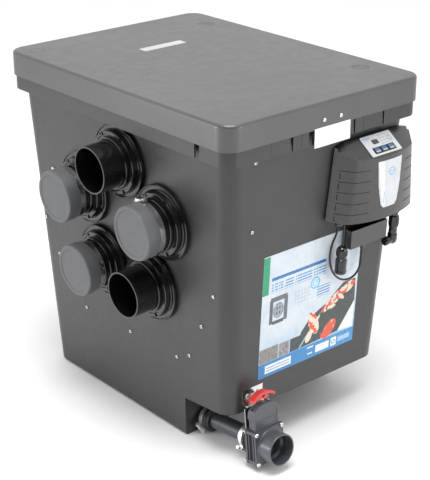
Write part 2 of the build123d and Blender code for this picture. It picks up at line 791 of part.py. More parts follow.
def connector_ribs(radius, b0, b1, count):
    ribs = []
    for i in range(count):
        spoke = slab(radius - 0.6, radius + 0.8, b0, b1, -0.8, 0.8)
        ribs.append(Rot(0, 360 / count * i, 0) * spoke)
    return ribs


def gland():
    body = turned_b([
        (2.6, -80), (5.9, -80), (5.9, -88.2), (8, -88.2), (8, -96), (7.6, -98), (5, -101), (2.6, -101),
    ])
    return body + connector_ribs(7.8, -96, -90, 10)


def connector_stack():
    body = turned_b([
        (0, -80), (5.9, -80), (5.9, -88.2), (9, -88.2), (9, -98), (11, -100), (11, -113), (9, -115),
        (9, -122), (11.5, -124), (11.5, -150), (10, -153), (10, -168), (11.5, -170), (11.5, -184),
        (10, -190), (6, -194), (0, -195),
    ])
    ribs = connector_ribs(11.5, -146, -127, 14)
    elbow = Pos(0, -183, 0) * Rot(0, -90, 0) * turned([(0, 0), (9.5, 0), (9.5, 17), (11, 18), (11, 26), (8, 29), (0, 29)])
    return body + ribs + elbow


def connectors():
    first = on_wall(Pos(GLAND_AT[0], 0, GLAND_C) * gland())
    loop_gland = on_wall(Pos(GLAND_AT[1], 0, GLAND_C) * gland())
    right = on_wall(Pos(GLAND_AT[2], 0, GLAND_C) * connector_stack())
    boot = turned_b([
        (2.6, -167), (6.5, -167), (6.5, -170.2), (7.5, -170.2), (7.5, -175), (4.2, -186), (2.6, -186),
    ])
    boot = on_wall(Pos(LOOP_END[0], 0, LOOP_END[2]) * boot)
    return Compound(children=[first, loop_gland, right, boot])


def lead_plug():
    body = turned_b([
        (2.6, -155), (7, -155), (10.5, -158), (12.2, -162), (12.2, -178), (10.8, -180), (10.8, -184),
        (12.8, -186), (13.4, -190), (13.4, -212), (14, -214), (14, -219), (11, -222), (0, -222),
        (0, -170), (2.6, -170),
    ])
    grip = connector_ribs(12.4, -176, -165, 16)
    return on_wall(Pos(GLAND_AT[0], 0, GLAND_C) * (body + grip))


LEAD_R = 2.5
LOOP_START = (-106.0, -84.0, 24.0)
LOOP_END = (-10.0, -172.0, 14.0)


def lead_route():
    a = GLAND_AT[0]
    return [(a, -84, GLAND_C), (a, -169, GLAND_C)]


def loop_route():
    return [
        LOOP_START,
        (-106, -112, 24),
        (-124, -140, 24),
        (-128, -178, 24),
        (-113, -216, 24),
        (-80, -244, 23),
        (-40, -250, 21),
        (-14, -232, 17),
        (LOOP_END[0], -202, LOOP_END[2]),
        LOOP_END,
    ]


def bend_radii(route):
    radii = []
    for before, here, after in zip(route, route[1:], route[2:]):
        arrive = Vector(*here) - Vector(*before)
        leave = Vector(*after) - Vector(*here)
        half_turn = math.radians(arrive.get_angle(leave)) / 2
        radii.append(0.45 * min(arrive.length, leave.length) / math.tan(half_turn))
    return radii


def cord(name, route, radius):
    if len(route) == 2:
        path = Line(*route)
    else:
        radii = bend_radii(route)
        print(name, "bend radii", [round(r, 1) for r in radii])
        path = FilletPolyline(*route, radius=radii)
    start = path @ 0
    section = Plane(origin=start, z_dir=path % 0) * Circle(radius)
    solid = sweep(section, path=path)
    length = path.length
    print(name, "length", round(length, 1), "volume ratio", round(solid.volume / (math.pi * radius**2 * length), 4))
    return on_wall(solid)


def lead_cord():
    return cord("lead_cord", lead_route(), LEAD_R)


def loop_cord():
    return cord("loop_cord", loop_route(), LEAD_R)


# ---------------------------------------------------------------- drum

def about_drum(part, y):
    return Pos(DRUM_X, y, DRUM_Z) * Rot(90, 0, 0) * part


def ring_y(outer, inner, y0, y1):
    return about_drum(tube(outer, inner, -y1, -y0), 0)


def drum_frame():
    rim_r = DRUM_R - 2
    body = ring_y(rim_r, rim_r - 20, DRUM_FRONT, DRUM_FRONT + 18)
    body += ring_y(210, 206, PARTITION_Y - 0.5, DRUM_FRONT + 2)
    body += ring_y(rim_r, rim_r - 20, GEAR_Y - 18, GEAR_Y - 0.1)
    bars = []
    spokes = []
    for i in range(PANELS):
        turn = 360 / PANELS * i
        bar = slab(rim_r - 12, rim_r - 0.5, -6, 6, 0, GEAR_Y - DRUM_FRONT - 2)
        bars.append(about_drum(Rot(0, 0, turn) * bar, GEAR_Y - 1))
        spokes.append(about_drum(Rot(0, 0, turn) * slab(20, rim_r - 6, -7, 7, 0, 8), GEAR_Y - 4))
    body += bars
    body += spokes
    body += ring_y(30, 0, GEAR_Y - 14, GEAR_Y + 8)
    body += ring_y(12, 0, GEAR_Y, CARRIER_Y + 16)
    return body


def drum_screens():
    panels = []
    y0 = DRUM_FRONT + 2
    y1 = GEAR_Y - 2
    low = DRUM_R - 1.95
    sweep_deg = 360 / PANELS - 1.2
    for i in range(PANELS):
        mesh = revolve(Plane.XZ * Pos(low + 0.7, 0) * Rectangle(1.4, y1 - y0), Axis.Z, sweep_deg)
        frame = revolve(Plane.XZ * Pos(low + 1.5, 0) * Rectangle(3.0, y1 - y0), Axis.Z, sweep_deg)
        window = Rot(0, 0, 2) * revolve(
            Plane.XZ * Pos(low + 2.9, 0) * Rectangle(3.0, y1 - y0 - 14), Axis.Z, sweep_deg - 4)
        mid = revolve(Plane.XZ * Pos(low + 1.5, 0) * Rectangle(3.0, 5), Axis.Z, sweep_deg)
        panel = mesh + (frame - window) + mid
        start = 360 / PANELS * i + 0.6
        panels.append(about_drum(Rot(0, 0, start) * panel, (y0 + y1) / 2))
    return Compound(children=panels)


def gear_face(teeth, bore_r, phase):
    pitch_r = teeth * GEAR_MODULE / 2
    tip_r = pitch_r + GEAR_MODULE
    root_r = pitch_r - 1.25 * GEAR_MODULE
    step = 2 * math.pi / teeth
    tip_half = 0.25 * GEAR_MODULE / tip_r
    mid_half = 0.62 * GEAR_MODULE / pitch_r
    root_half = 0.98 * GEAR_MODULE / root_r
    points = []
    for i in range(teeth):
        middle = math.radians(phase) + i * step
        for radius, turn in (
            (root_r, -root_half), (pitch_r, -mid_half), (tip_r, -tip_half),
            (tip_r, tip_half), (pitch_r, mid_half), (root_r, root_half),
        ):
            points.append((radius * math.cos(middle + turn), radius * math.sin(middle + turn)))
    return make_face(Polyline(*points, close=True)) - Circle(bore_r)


def drum_gear():
    face = gear_face(DRUM_TEETH, 206, PINION_BEARING)
    body = extrude(face, GEAR_W)
    lips = []
    for i in range(PANELS):
        lips.append(Rot(0, 0, 360 / PANELS * (i + 0.5)) * Pos(216, 0, 0) * Cylinder(4.5, 7))
    return place_gear(body + lips)


def place_gear(part):
    return Pos(DRUM_X, GEAR_Y + GEAR_W, DRUM_Z) * Rot(90, 0, 0) * part


def pinion_centre():
    reach = (DRUM_TEETH + PINION_TEETH) * GEAR_MODULE / 2
    turn = math.radians(PINION_BEARING)
    return DRUM_X + reach * math.cos(turn), DRUM_Z + reach * math.sin(turn)


def drive_pinion():
    x, z = pinion_centre()
    phase = PINION_BEARING + 180 + 180 / PINION_TEETH
    body = extrude(gear_face(PINION_TEETH, 5, phase), GEAR_W)
    body += tube(14, 5, -8, 0)
    body += Pos(0, 0, -40) * Cylinder(5, 54, align=(Align.CENTER, Align.CENTER, Align.MIN))
    return Pos(x, GEAR_Y + GEAR_W, z) * Rot(90, 0, 0) * body


def drive_motor():
    x, z = pinion_centre()
    gearbox = Pos(0, 0, 6.2) * extrude(RectangleRounded(66, 66, 8), 26)
    can = Pos(0, 0, 32) * Cylinder(26, 20, align=(Align.CENTER, Align.CENTER, Align.MIN))
    can = fillet(can.edges().group_by(Axis.Z)[-1], 4)
    plug = Pos(0, -36, 19) * Box(18, 12, 14)
    bore = Pos(0, 0, 0) * Cylinder(5.4, 50)
    feet = []
    for i in range(4):
        feet.append(Rot(0, 0, 90 * i + 45) * Pos(40, 0, 8) * Cylinder(5, 3.6))
    return Pos(x, CARRIER_Y, z) * Rot(-90, 0, 0) * (gearbox + can + plug + feet - bore)


def partition():
    y = PARTITION_Y
    plate = slab(-400, 400, y, y + 6, 0, 720)
    plate -= ring_y(216, 0, y - 5, y + 15)
    post = slab(DRUM_X - 10, DRUM_X + 10, y, y + 6, 715, 751.9)
    return (plate + post) & cavity(0.3)


def front_seal():
    return ring_y(224, 210.3, PARTITION_Y + 6.1, PARTITION_Y + 10.5)


def rear_carrier():
    y0 = CARRIER_Y
    y1 = CARRIER_Y + 6
    x, z = pinion_centre()
    upright = slab(DRUM_X - 40, DRUM_X + 40, y0, y1, 0, 560)
    beam = slab(-400, 400, y0, y1, DRUM_Z - 30, DRUM_Z + 30)
    arm = Pos((DRUM_X + x) / 2, (y0 + y1) / 2, (DRUM_Z + z) / 2) * Rot(0, -PINION_BEARING, 0) * Box(340, 6, 74)
    plate = (upright + beam + arm) & cavity(0.3)
    plate -= ring_y(24.1, 0, y0 - 5, y1 + 5)
    plate -= Pos(x, y0, z) * Rot(90, 0, 0) * Cylinder(7, 40)
    return plate


def rear_bearing():
    y0 = CARRIER_Y
    return ring_y(24, 12.06, y0 - 8, y0 + 14) + ring_y(33, 23, y0 - 8, y0 - 0.1)


def dirt_trough():
    top = 632.0
    low = 565.0
    wide = 118.0
    narrow = 34.0
    sheet = 3.0
    y0 = DRAIN_Y - 32
    y1 = GEAR_Y - 30
    outer = [(-wide, top), (-narrow, low - sheet), (narrow, low - sheet), (wide, top)]
    inner = [(-wide + 4, top + 1), (-narrow + 2, low), (narrow - 2, low), (wide - 4, top + 1)]
    body = Pos(DRUM_X, 0, 0) * prism_y(outer, y0, y1)
    body -= Pos(DRUM_X, 0, 0) * prism_y(inner, y0 + sheet, y1 - sheet)
    for x in (DRUM_X - 42, DRUM_X + 42):
        body += slab(x - 8, x + 8, PARTITION_Y - 7, PARTITION_Y - 1.5, 258, low + 12)
        body += slab(x - 8, x + 8, PARTITION_Y - 7, PARTITION_Y - 0.05, 258, 276)
    body -= Pos(DRUM_X, DRAIN_Y, low) * Cylinder(21, 20)
    return body


def waste_pipe():
    low = DRAIN_Z + 5
    path = FilletPolyline((DRUM_X, DRAIN_Y, 561.8), (DRUM_X, DRAIN_Y, low), (171, DRAIN_Y, low), radius=42)
    start = Pos(DRUM_X, DRAIN_Y, 561.8)
    outer = sweep(start * Circle(STUB_R), path=path)
    return outer - sweep(start * Circle(STUB_R - 3), path=path)


SPRAY_Z = 762.0
RISER_X = -290.0


def spray_bar():
    body = Pos(DRUM_X, 0, SPRAY_Z) * Rot(90, 0, 0) * (Cylinder(10, 300) - Pos(0, 0, 12) * Cylinder(8, 300))
    nozzles = []
    for i in range(5):
        y = -92 + 52 * i
        tip = Pos(DRUM_X, y, SPRAY_Z - 19) * Cylinder(5.5, 10, align=(Align.CENTER, Align.CENTER, Align.MIN))
        slot = Pos(DRUM_X, y, SPRAY_Z - 19) * Box(12, 1.6, 3)
        nozzles.append(tip - slot)
        nozzles.append(Pos(DRUM_X, y, SPRAY_Z) * Rot(90, 0, 0) * tube(12.5, 9.5, -7, 7))
    return body + nozzles


def spray_riser():
    points = [
        (RISER_X, 60, 98.1), (RISER_X, 60, SPRAY_Z), (RISER_X, 186, SPRAY_Z),
        (DRUM_X, 186, SPRAY_Z), (DRUM_X, 150.2, SPRAY_Z),
    ]
    path = FilletPolyline(*points, radius=18)
    start = Pos(*points[0])
    return sweep(start * Circle(9), path=path) - sweep(start * Circle(7), path=path)


def spray_pump():
    body = Pos(-268, 60, WALL + 0.1) * extrude(RectangleRounded(112, 84, 12), 80)
    body = fillet(body.edges().group_by(Axis.Z)[-1], 8)
    slots = []
    for i in range(9):
        slots.append(Pos(-268 + (i - 4) * 10, 60, 34) * Box(3.5, 100, 34))
    core = Pos(-268, 60, 40) * Box(100, 76, 44)
    outlet = Pos(RISER_X, 60, 84) * tube(14, 7, 0, 14)
    return body - [s - core for s in slots] + outlet


SENSOR_X = -300.0
SENSOR_Y = -60.0


def level_sensor():
    stem = Pos(SENSOR_X, SENSOR_Y, 560) * Cylinder(6, 190, align=(Align.CENTER, Align.CENTER, Align.MIN))
    stop = Pos(SENSOR_X, SENSOR_Y, 560) * tube(11, 5, 0, 6)
    head = Pos(SENSOR_X, SENSOR_Y, 740) * Cylinder(15, 26)
    arm = slab(-400, SENSOR_X, SENSOR_Y - 14, SENSOR_Y + 14, 738, 743) & cavity(0.3)
    return stem + stop + head + arm


def level_float():
    body = Pos(SENSOR_X, SENSOR_Y, 566.1) * tube(17, 6.4, 0, 36)
    return fillet(body.edges().filter_by(GeomType.CIRCLE).group_by(SortBy.RADIUS)[-1], 4)


NODES = {
    "tank_shell": tank_shell,
    "lid": lid,
    "lid_seal": lid_seal,
    "lid_badge": lid_badge,
    "lid_caps": lid_caps,
    "lid_contact_plate": contact_plate,
    "contact_plate_screws": contact_plate_screws,
    "port_gaskets": port_gaskets,
    "port_flanges": port_flanges,
    "port_nuts": port_nuts,
    "inlet_spigots": inlet_spigots,
    "outlet_spigots": outlet_spigots,
    "end_caps": end_caps,
    "cap_clamps": cap_clamps,
    "drain_stub": drain_stub,
    "drain_sleeves": drain_sleeves,
    "drain_pipe": drain_pipe,
    "drain_clamps": drain_clamps,
    "valve_body_back": valve_body_back,
    "valve_body_front": valve_body_front,
    "valve_bonnet": valve_bonnet,
    "valve_bolts": valve_bolts,
    "valve_bracket": valve_bracket,
    "gate_blade": gate_blade,
    "gate_stem": gate_stem,
    "gate_handle": gate_handle,
    "wall_screws": wall_screws,
    "label_panel": label_panel,
    "controller_bracket": controller_bracket,
    "controller_base": controller_base,
    "controller_cover": controller_cover,
    "controller_board": controller_board,
    "controller_screws": controller_screws,
    "controller_connectors": connectors,
    "control_panel": control_panel,
    "display_window": display_window,
    "front_badge": front_badge,
    "lead_plug": lead_plug,
    "lead_cord": lead_cord,
    "loop_cord": loop_cord,
    "drum_frame": drum_frame,
    "drum_screens": drum_screens,
    "drum_gear": drum_gear,
    "drive_pinion": drive_pinion,
    "drive_motor": drive_motor,
    "partition_plate": partition,
    "front_seal": front_seal,
    "rear_carrier": rear_carrier,
    "rear_bearing": rear_bearing,
    "dirt_trough": dirt_trough,
    "waste_pipe": waste_pipe,
    "spray_bar": spray_bar,
    "spray_riser": spray_riser,
    "spray_pump": spray_pump,
    "level_sensor": level_sensor,
    "level_float": level_float,
}

os.makedirs("parts", exist_ok=True)
for name, build in NODES.items():
    export_step(build(), f"parts/{name}.step")
for number, a in enumerate(BUTTON_AT, start=1):
    export_step(button(a), f"parts/button_{number}.step")
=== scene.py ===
import math

import bpy
from mathutils import Matrix, Vector


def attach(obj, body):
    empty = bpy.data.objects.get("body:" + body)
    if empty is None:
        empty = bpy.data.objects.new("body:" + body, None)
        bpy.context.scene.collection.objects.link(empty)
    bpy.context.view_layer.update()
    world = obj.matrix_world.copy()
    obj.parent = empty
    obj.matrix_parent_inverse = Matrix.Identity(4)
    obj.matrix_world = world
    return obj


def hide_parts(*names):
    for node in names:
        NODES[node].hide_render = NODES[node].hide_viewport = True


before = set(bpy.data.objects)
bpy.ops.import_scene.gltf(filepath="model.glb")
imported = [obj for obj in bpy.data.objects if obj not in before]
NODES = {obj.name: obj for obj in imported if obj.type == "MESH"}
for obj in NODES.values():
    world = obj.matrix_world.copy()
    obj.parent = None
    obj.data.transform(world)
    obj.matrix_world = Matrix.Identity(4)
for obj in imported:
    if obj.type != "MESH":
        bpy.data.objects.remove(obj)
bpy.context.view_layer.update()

MM = 0.001

# places shared with the CAD model, in millimetres
WALL_SLOPE = 0.054
WALL_LEAN = math.atan(WALL_SLOPE)
FOOT_HALF_X = 337.5
ROOF_EDGE = (0.0, 96.0, 3.0)
CTRL_Y = 151.0
CTRL_Z = 620.0
ROOF_TILT = math.radians(33)
PANEL_A = -3.0
PANEL_S = 37.5
KEY_PLACES = (-22.0, 0.0, 22.0)
LABEL_Y = -3.0
LABEL_Z = 338.0
DRUM_Z = 493.0
CORD_R = 2.5
LID_CAPS = ((-272.0, 226.0), (266.0, 228.0))
CAP_R = 19.2


# ---------------------------------------------------------------- frames of the leaning side wall

def half_x(z):
    return FOOT_HALF_X + WALL_SLOPE * z


def side_frame(y, z):
    """Matrix of the controller wall's own axes: along +Y, up the wall, outwards. Millimetres."""
    along = Vector((0, 1, 0))
    rise = Vector((math.sin(WALL_LEAN), 0, math.cos(WALL_LEAN)))
    out = Vector((math.cos(WALL_LEAN), 0, -math.sin(WALL_LEAN)))
    turn = Matrix((along, rise, out)).transposed().to_4x4()
    return Matrix.Translation((half_x(z), y, z)) @ turn


def roof_frame():
    """The sloping roof of the controller: along, out of the roof, and down the roof."""
    tilt = Matrix.Rotation(ROOF_TILT, 4, "X")
    return side_frame(CTRL_Y, CTRL_Z) @ Matrix.Translation(ROOF_EDGE) @ tilt


def panel_sheet():
    """The key panel as a drawing: along, and up the roof."""
    return roof_frame() @ Matrix.Translation((PANEL_A, 0, PANEL_S)) @ Matrix.Rotation(-math.pi / 2, 4, "X")


# ---------------------------------------------------------------- shader helpers

def tone(red, green, blue):
    """A colour picked in screen values, 0 to 255, as the linear colour that the shader takes."""
    linear = []
    for value in (red, green, blue):
        v = value / 255
        linear.append(v / 12.92 if v <= 0.04045 else ((v + 0.055) / 1.055) ** 2.4)
    return (*linear, 1.0)


class Finish:
    """One node material, with short ways to add the nodes that the finishes below share."""

    def __init__(self, name):
        self.material = bpy.data.materials.new(name)
        self.material.use_nodes = True
        self.tree = self.material.node_tree
        self.shader = self.tree.nodes["Principled BSDF"]
        self.place = self.add("ShaderNodeTexCoord").outputs["Object"]
        self.height = None

    def add(self, kind, **settings):
        node = self.tree.nodes.new(kind)
        for key, value in settings.items():
            setattr(node, key, value)
        return node

    def feed(self, socket, value):
        if isinstance(value, bpy.types.NodeSocket):
            self.tree.links.new(value, socket)
        else:
            socket.default_value = value

    def reckon(self, operation, first, second=0.0, third=0.0, clamp=False):
        node = self.add("ShaderNodeMath", operation=operation, use_clamp=clamp)
        for socket, value in zip(node.inputs, (first, second, third)):
            self.feed(socket, value)
        return node.outputs[0]

    def vector(self, operation, first, second=(0, 0, 0)):
        node = self.add("ShaderNodeVectorMath", operation=operation)
        self.feed(node.inputs[0], first)
        self.feed(node.inputs[1], second)
        return node.outputs["Value" if operation in ("LENGTH", "DOT_PRODUCT") else "Vector"]

    def remap(self, value, low, high, new_low=0.0, new_high=1.0):
        node = self.add("ShaderNodeMapRange")
        for key, number in (("Value", value), ("From Min", low), ("From Max", high), ("To Min", new_low),
                            ("To Max", new_high)):
            self.feed(node.inputs[key], number)
        return node.outputs[0]

    def mix(self, factor, below, above):
        node = self.add("ShaderNodeMix", data_type="RGBA")
        self.feed(node.inputs[0], factor)
        self.feed(node.inputs[6], below)
        self.feed(node.inputs[7], above)
        return node.outputs[2]

    def mapped(self, centre=(0, 0, 0), turn=(0, 0, 0), size=(1, 1, 1), place=None):
        """Coordinates in a box of that centre, turn and half size, where its faces are at 1."""
        node = self.add("ShaderNodeMapping", vector_type="TEXTURE")
        self.feed(node.inputs["Vector"], self.place if place is None else place)
        node.inputs["Location"].default_value = centre
        node.inputs["Rotation"].default_value = turn
        node.inputs["Scale"].default_value = size
        return node.outputs[0]

    def noise(self, scale, detail=2.0, rough=0.5, place=None, stretch=None):
        place = self.place if place is None else place
        if stretch:
            place = self.vector("MULTIPLY", place, stretch)
        node = self.add("ShaderNodeTexNoise")
        self.feed(node.inputs["Vector"], place)
        node.inputs["Scale"].default_value = scale
        node.inputs["Detail"].default_value = detail
        node.inputs["Roughness"].default_value = rough
        return node.outputs["Fac"]

    def cells(self, scale, stretch=None):
        node = self.add("ShaderNodeTexVoronoi")
        place = self.vector("MULTIPLY", self.place, stretch) if stretch else self.place
        self.feed(node.inputs["Vector"], place)
        node.inputs["Scale"].default_value = scale
        return node.outputs["Distance"]

    def edges(self, radius):
        """1 along sharp edges, fading out over that radius, 0 on flat faces."""
        soft = self.add("ShaderNodeBevel", samples=4)
        soft.inputs["Radius"].default_value = radius
        flat = self.add("ShaderNodeNewGeometry").outputs["Normal"]
        return self.remap(self.vector("DOT_PRODUCT", soft.outputs[0], flat), 0.995, 0.86)

    def bump(self, height, distance, strength=1.0):
        node = self.add("ShaderNodeBump")
        node.inputs["Strength"].default_value = strength
        node.inputs["Distance"].default_value = distance
        self.feed(node.inputs["Height"], height)
        if self.height:
            self.tree.links.new(self.height, node.inputs["Normal"])
        self.height = node.outputs[0]
        self.feed(self.shader.inputs["Normal"], self.height)

    def set(self, **values):
        names = {"colour": "Base Color", "rough": "Roughness", "metal": "Metallic", "coat": "Coat Weight",
                 "coat_rough": "Coat Roughness", "specular": "Specular IOR Level"}
        for key, value in values.items():
            self.feed(self.shader.inputs[names[key]], value)
        return self

    def on_sheet(self, matrix):
        """From here on, flat shapes are drawn on the first two axes of that frame, in its millimetres."""
        inverse = matrix.inverted()
        metres = self.vector("SCALE", self.place)
        metres.node.inputs["Scale"].default_value = 1000
        along = self.vector("DOT_PRODUCT", metres, tuple(inverse[0][:3]))
        up = self.vector("DOT_PRODUCT", metres, tuple(inverse[1][:3]))
        pair = self.add("ShaderNodeCombineXYZ")
        self.feed(pair.inputs[0], self.reckon("ADD", along, inverse[0][3]))
        self.feed(pair.inputs[1], self.reckon("ADD", up, inverse[1][3]))
        self.sheet = pair.outputs[0]

    def oblong(self, x0, y0, x1, y1, turn=0.0):
        centre = ((x0 + x1) / 2, (y0 + y1) / 2, 0)
        size = (abs(x1 - x0) / 2, abs(y1 - y0) / 2, 1)
        inside = self.vector("ABSOLUTE", self.mapped(centre, (0, 0, turn), size, self.sheet))
        split = self.add("ShaderNodeSeparateXYZ")
        self.feed(split.inputs[0], inside)
        return self.reckon("LESS_THAN", self.reckon("MAXIMUM", split.outputs[0], split.outputs[1]), 1.0)

    def oval(self, x, y, rx, ry, turn=0.0):
        inside = self.vector("LENGTH", self.mapped((x, y, 0), (0, 0, turn), (rx, ry, 1), self.sheet))
        return self.reckon("LESS_THAN", inside, 1.0)

    def hoop(self, x, y, radius, width):
        hole = radius - width
        return self.reckon("SUBTRACT", self.oval(x, y, radius, radius), self.oval(x, y, hole, hole))

    def corners(self, *points):
        """A convex outline, its points in anticlockwise order."""
        inside = None
        for (x0, y0), (x1, y1) in zip(points, points[1:] + points[:1]):
            normal = (y0 - y1, x1 - x0, 0)
            side = self.vector("DOT_PRODUCT", self.sheet, normal)
            mask = self.reckon("GREATER_THAN", side, normal[0] * x0 + normal[1] * y0)
            inside = mask if inside is None else self.reckon("MULTIPLY", inside, mask)
        return inside

    def stripes(self, axis, pitch, share, offset=0.0):
        split = self.add("ShaderNodeSeparateXYZ")
        self.feed(split.inputs[0], self.sheet)
        along = self.reckon("DIVIDE", self.reckon("ADD", split.outputs[axis], offset), pitch)
        return self.reckon("LESS_THAN", self.reckon("FRACT", along), share)

    def both(self, *masks):
        out = masks[0]
        for mask in masks[1:]:
            out = self.reckon("MULTIPLY", out, mask)
        return out


def moulded(name, colour, rough=0.42, edge=1.6, grain=0.00012, grain_scale=1400, shade=0.12, edge_highlight_strength=0.5,
            coat=0.0, specular=0.5):
    """Injection or rotation moulded plastic: fine grain, faint clouding, scuffs, and a painted highlight
    along the edges, patchy where the scuffs are.
    """
    f = Finish(name)
    cloud = f.noise(5.5, 4, 0.6)
    scuff = f.noise(60, 6, 0.7, stretch=(1.0, 0.35, 1.8))
    fine = f.noise(grain_scale, 2, 0.6)
    dark = tuple(c * (1 - shade) for c in colour[:3]) + (1,)
    light = tuple(min(1, c * (1 + shade) + 0.002) for c in colour[:3]) + (1,)
    base = f.mix(f.remap(cloud, 0.3, 0.7), dark, light)
    # painted highlight: the edges are drawn in a paler colour, broken up by the scuff noise
    edge_highlight_colour = tuple(min(1, c * 1.9 + 0.02) for c in colour[:3]) + (1,)
    edges = f.edges(edge * MM)
    edge_highlight_mask = f.reckon("MULTIPLY", edges, f.remap(scuff, 0.35, 0.75, 0.15, edge_highlight_strength), clamp=True)
    base = f.mix(edge_highlight_mask, base, edge_highlight_colour)
    level = f.remap(scuff, 0.3, 0.75, rough - 0.06, rough + 0.08)
    f.set(colour=base, rough=level, coat=coat, specular=specular)
    f.bump(fine, grain)
    return f


def steel(name, rough=0.24, along=(1.0, 1.0, 0.04), colour=(0.80, 0.79, 0.77, 1), smear=0.25):
    """Stainless sheet or wire: fine lines along one way, and soft smears."""
    f = Finish(name)
    lines = f.noise(1500, 3, 0.6, stretch=along)
    smears = f.noise(26, 4, 0.6)
    dull = tuple(c * 0.82 for c in colour[:3]) + (1,)
    base = f.mix(f.remap(smears, 0.3, 0.7, 0.0, smear * 2), colour, dull)
    f.set(colour=base, metal=1.0, rough=f.remap(lines, 0.25, 0.75, rough - 0.07, rough + 0.1))
    f.bump(lines, 0.00003)
    return f


def rubber(name, colour=(0.017, 0.017, 0.018, 1), rough=0.5):
    f = Finish(name)
    dust = f.noise(40, 5, 0.65)
    base = f.mix(f.remap(dust, 0.45, 0.8, 0.0, 0.35), colour, (0.09, 0.09, 0.09, 1))
    f.set(colour=base, rough=f.remap(dust, 0.3, 0.7, rough - 0.08, rough + 0.12))
    f.bump(f.noise(1700, 2, 0.6), 0.00008)
    return f


# ---------------------------------------------------------------- finishes

def glossy(name, colour, rough=0.12, coat=0.6):
    """Shiny moulding: a smooth skin with faint ripples, a few rubbed places, and a painted highlight along
    the edges.
    """
    f = Finish(name)
    rub = f.noise(45, 5, 0.7)
    dull = tuple(min(1, c * 1.25 + 0.004) for c in colour[:3]) + (1,)
    base = f.mix(f.remap(rub, 0.4, 0.75, 0.0, 0.5), colour, dull)
    # painted highlight: a paler colour along the edges, broken up by the rub noise
    edge_highlight_mask = f.reckon("MULTIPLY", f.edges(0.0008), f.remap(rub, 0.35, 0.65, 0.1, 0.45), clamp=True)
    pale = tuple(min(1, c * 1.6 + 0.03) for c in colour[:3]) + (1,)
    base = f.mix(edge_highlight_mask, base, pale)
    f.set(colour=base, rough=f.remap(rub, 0.3, 0.75, rough - 0.04, rough + 0.12), coat=coat, coat_rough=0.06)
    f.bump(f.noise(90, 2, 0.5), 0.0001)
    return f


def tank_plastic():
    """Rotation moulded shell: mottled charcoal with soft waves, powdery grain, and a painted highlight along
    the edges.
    """
    f = Finish("tank_plastic")
    cloud = f.noise(3.2, 5, 0.62)
    speck = f.noise(420, 3, 0.7)
    base = f.mix(f.remap(cloud, 0.3, 0.7), tone(42, 41, 43), tone(51, 50, 52))
    base = f.mix(f.remap(speck, 0.45, 0.75, 0.0, 0.3), base, tone(68, 67, 70))
    edges = f.edges(0.003)
    scuff = f.noise(38, 6, 0.7, stretch=(1, 1, 2.4))
    # painted highlight: paler colour along the edges, broken up by the scuff noise
    base = f.mix(f.reckon("MULTIPLY", edges, f.remap(scuff, 0.3, 0.7, 0.05, 0.35), clamp=True), base,
                 tone(112, 112, 116))
    f.set(colour=base, rough=f.remap(scuff, 0.3, 0.7, 0.32, 0.44), specular=0.6)
    f.bump(cloud, 0.0035)
    f.bump(speck, 0.00016)
    return f


def lid_plastic():
    """The lid's paler moulding, with a faint sheen on top and a painted highlight along the edges."""
    f = Finish("lid_plastic")
    cloud = f.noise(4.0, 5, 0.6)
    speck = f.noise(460, 3, 0.7)
    base = f.mix(f.remap(cloud, 0.3, 0.7), tone(62, 61, 61), tone(72, 71, 70))
    base = f.mix(f.remap(speck, 0.5, 0.8, 0.0, 0.3), base, tone(92, 91, 89))
    edges = f.edges(0.0025)
    scuff = f.noise(30, 6, 0.7, stretch=(1.6, 1, 1))
    # painted highlight: paler colour along the edges, broken up by the scuff noise
    base = f.mix(f.reckon("MULTIPLY", edges, f.remap(scuff, 0.3, 0.7, 0.05, 0.35), clamp=True), base,
                 tone(118, 117, 116))
    f.set(colour=base, rough=f.remap(scuff, 0.3, 0.7, 0.3, 0.4), specular=0.9)
    f.bump(cloud, 0.002)
    f.bump(speck, 0.00012)
    return f


def lid_cap_plastic_painted_seam_shade():
    """The lid's plastic with painted shade in the seam that runs round each lock cap, and a fainter painted
    shade ring inside it.
    """
    f = lid_plastic()
    f.material.name = "lid_cap_plastic_painted_seam_shade"
    f.on_sheet(Matrix.Identity(4))
    base = f.shader.inputs["Base Color"].links[0].from_socket
    for x, y in LID_CAPS:
        # painted shade: a dark ring in the seam round each cap, and a fainter dark ring inside it
        base = f.mix(f.hoop(x, y, CAP_R + 0.6, 3.4), base, tone(22, 22, 23))
        base = f.mix(f.hoop(x, y, CAP_R - 6.5, 1.2), base, tone(40, 40, 41))
    f.set(colour=base)
    return f


def screen_mesh():
    """Fine woven stainless screen cloth."""
    f = Finish("screen_mesh")
    split = f.add("ShaderNodeSeparateXYZ")
    f.feed(split.inputs[0], f.mapped((0, 0, DRUM_Z * MM)))
    turn = f.reckon("ARCTAN2", split.outputs[2], split.outputs[0])
    rings = f.reckon("SINE", f.reckon("MULTIPLY", split.outputs[1], 3200))
    bars = f.reckon("SINE", f.reckon("MULTIPLY", turn, 420))
    weave = f.reckon("MULTIPLY", rings, bars)
    base = f.mix(f.remap(weave, -0.6, 0.6), tone(70, 72, 74), tone(182, 184, 186))
    f.set(colour=base, metal=0.8, rough=f.remap(f.noise(30), 0.3, 0.7, 0.3, 0.5))
    f.bump(weave, 0.0002)
    return f


def printed(name, rough, coat=0.3):
    """A printed film: the picture is laid on afterwards by `paint`."""
    f = Finish(name)
    f.set(rough=f.remap(f.noise(24, 4, 0.6), 0.3, 0.7, rough - 0.05, rough + 0.08), coat=coat, coat_rough=0.1)
    f.bump(f.noise(60, 2, 0.5), 0.00006)
    return f


def paint(f, base, layers):
    for mask, colour in layers:
        base = f.mix(mask, base, colour)
    f.set(colour=base)


